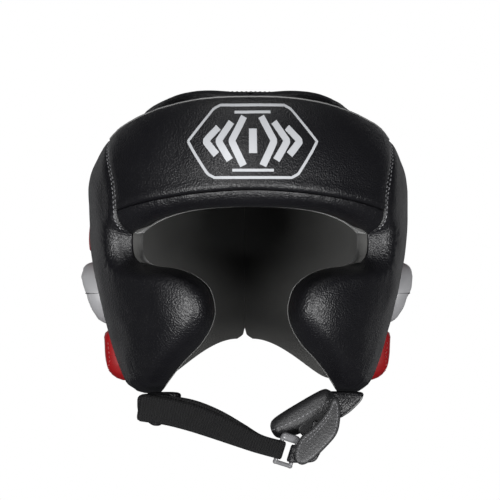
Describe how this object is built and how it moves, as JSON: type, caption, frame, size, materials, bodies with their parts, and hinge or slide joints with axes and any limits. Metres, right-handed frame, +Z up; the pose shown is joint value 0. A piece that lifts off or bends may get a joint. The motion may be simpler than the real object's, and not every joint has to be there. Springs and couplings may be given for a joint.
{
  "type": "boxing headgear",
  "caption": "Padded boxing headgear with cheek pads, leather covers over foam, ear pads, crown and rear closures, and a webbing chin strap with ring buckle and cover flap.",
  "frame": {"origin": "middle of the head socket, level with the middle of the brow edge", "axes": "+Z up towards the crown, -Y out through the face opening, +X towards the side with the ring buckle and cover flap (the wearer's left ear)"},
  "size_m": [0.2542, 0.2611, 0.287],
  "materials": {
    "black_leather": "semi-gloss grained",
    "red_leather": "semi-gloss grained",
    "grey_leather": "smooth satin",
    "suede_lining": "brushed suede",
    "foam": "matte closed-cell foam",
    "nylon_webbing": "ribbed weave",
    "elastic_webbing": "ribbed elastic weave",
    "hook_and_loop": "napped",
    "buckle_plastic": "glossy"
  },
  "bodies": {
    "shell": {"forehead_cover": "black_leather", "forehead_foam": "foam", "forehead_lining": "suede_lining", "forehead_piping": "grey_leather", "brow_roll": "black_leather", "left_side_cover": "black_leather", "left_side_foam": "foam", "left_side_lining": "suede_lining", "right_side_cover": "black_leather", "right_side_foam": "foam", "right_side_lining": "suede_lining", "left_crown_cover": "black_leather", "left_crown_foam": "foam", "left_crown_lining": "suede_lining", "right_crown_cover": "black_leather", "right_crown_foam": "foam", "right_crown_lining": "suede_lining", "crown_tab_anchor": "black_leather", "crown_loop_patch": "hook_and_loop", "left_anchor_tab": "black_leather", "left_gusset": "black_leather", "right_gusset": "black_leather"},
    "right_rear": {"right_rear_cover": "red_leather", "right_rear_foam": "foam", "right_rear_lining": "suede_lining", "right_ear_pad": "grey_leather", "rear_strap_anchor": "black_leather"},
    "left_rear": {"left_rear_cover": "red_leather", "left_rear_foam": "foam", "left_rear_lining": "suede_lining", "left_ear_pad": "grey_leather", "rear_loop_patch": "hook_and_loop"},
    "rear_closure": {"rear_strap": "elastic_webbing", "rear_hook_patch": "hook_and_loop"},
    "crown_closure": {"crown_tab": "black_leather", "crown_hook_patch": "hook_and_loop"},
    "webbing": {"chin_webbing": "nylon_webbing"},
    "ring": {"ring_buckle": "buckle_plastic", "hook_tab": "black_leather", "hook_tab_patch": "hook_and_loop"},
    "chin_strap": {"chin_strap_pad": "black_leather", "chin_loop_patch": "hook_and_loop"},
    "flap": {"cover_flap": "black_leather", "flap_lining": "suede_lining"}
  },
  "joints": [
    {"name": "right_rear_flex", "type": "hinge", "parent": "shell", "child": "right_rear", "pos_m": [0.1215, 0.0016, 0], "axis": [0, 0, -1], "range_deg": [0, 18]},
    {"name": "left_rear_flex", "type": "hinge", "parent": "shell", "child": "left_rear", "pos_m": [-0.1215, 0.0016, 0], "axis": [0, 0, 1], "range_deg": [0, 18]},
    {"name": "rear_strap_peel", "type": "hinge", "parent": "right_rear", "child": "rear_closure", "pos_m": [0.0627, 0.1122, -0.04], "axis": [-0.0648, -0.1159, -0.9911], "range_deg": [0, 100]},
    {"name": "crown_tab_peel", "type": "hinge", "parent": "shell", "child": "crown_closure", "pos_m": [-0.0353, 0.0635, 0.09057], "axis": [0, -0.99, 0.141], "range_deg": [0, 100]},
    {"name": "chin_webbing_swing", "type": "hinge", "parent": "shell", "child": "webbing", "pos_m": [-0.074, -0.0615, -0.147], "axis": [0, 1, 0], "range_deg": [0, 55]},
    {"name": "ring_pivot", "type": "hinge", "parent": "webbing", "child": "ring", "pos_m": [0.021, -0.065, -0.179], "axis": [-0.3032, 0, -0.9529], "range_deg": [0, 27]},
    {"name": "chin_strap_swing", "type": "hinge", "parent": "shell", "child": "chin_strap", "pos_m": [0.06, -0.054, -0.144], "axis": [0, -1, 0], "range_deg": [0, 25]},
    {"name": "cover_flap_hinge", "type": "hinge", "parent": "chin_strap", "child": "flap", "pos_m": [0.06, -0.0656, -0.1435], "axis": [-0.892, 0, 0.452], "range_deg": [0, 90]}
  ],
  "couplings": [
    {"joint": "left_rear_flex", "follows": "right_rear_flex", "ratio": 1},
    {"joint": "ring_pivot", "follows": "cover_flap_hinge", "ratio": 0.3}
  ]
}
